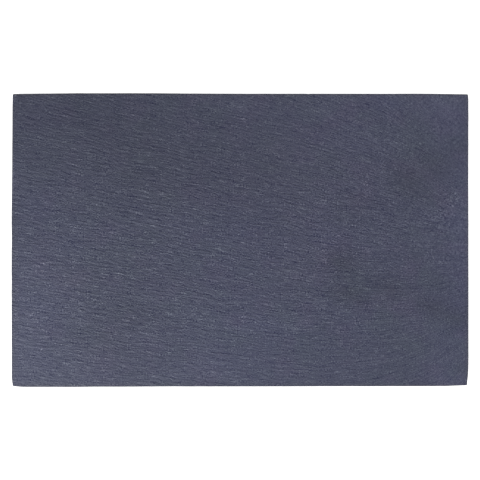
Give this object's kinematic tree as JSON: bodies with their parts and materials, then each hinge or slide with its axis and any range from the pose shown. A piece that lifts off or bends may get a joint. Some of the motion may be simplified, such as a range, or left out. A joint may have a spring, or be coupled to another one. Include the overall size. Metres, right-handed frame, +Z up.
{
  "type": "stone serving tray",
  "caption": "Flat rectangular slate serving tray with straight cut edges and small stick-on rubber feet underneath.",
  "frame": {"origin": "on the surface the tray stands on, under the middle of its bounding box", "axes": "+X along the long side, to the right in the picture; +Y along the short side, up in the picture; +Z up, out of the serving face"},
  "size_m": [0.28, 0.18, 0.0078],
  "materials": {
    "slate": "satin",
    "foot_rubber": "matte",
    "adhesive_foam": "matte"
  },
  "bodies": {
    "root": {"slate_slab": "slate", "foot_front_left": "foot_rubber", "foot_front_right": "foot_rubber", "foot_back_left": "foot_rubber", "foot_back_right": "foot_rubber", "adhesive_front_left": "adhesive_foam", "adhesive_front_right": "adhesive_foam", "adhesive_back_left": "adhesive_foam", "adhesive_back_right": "adhesive_foam"}
  },
  "joints": []
}
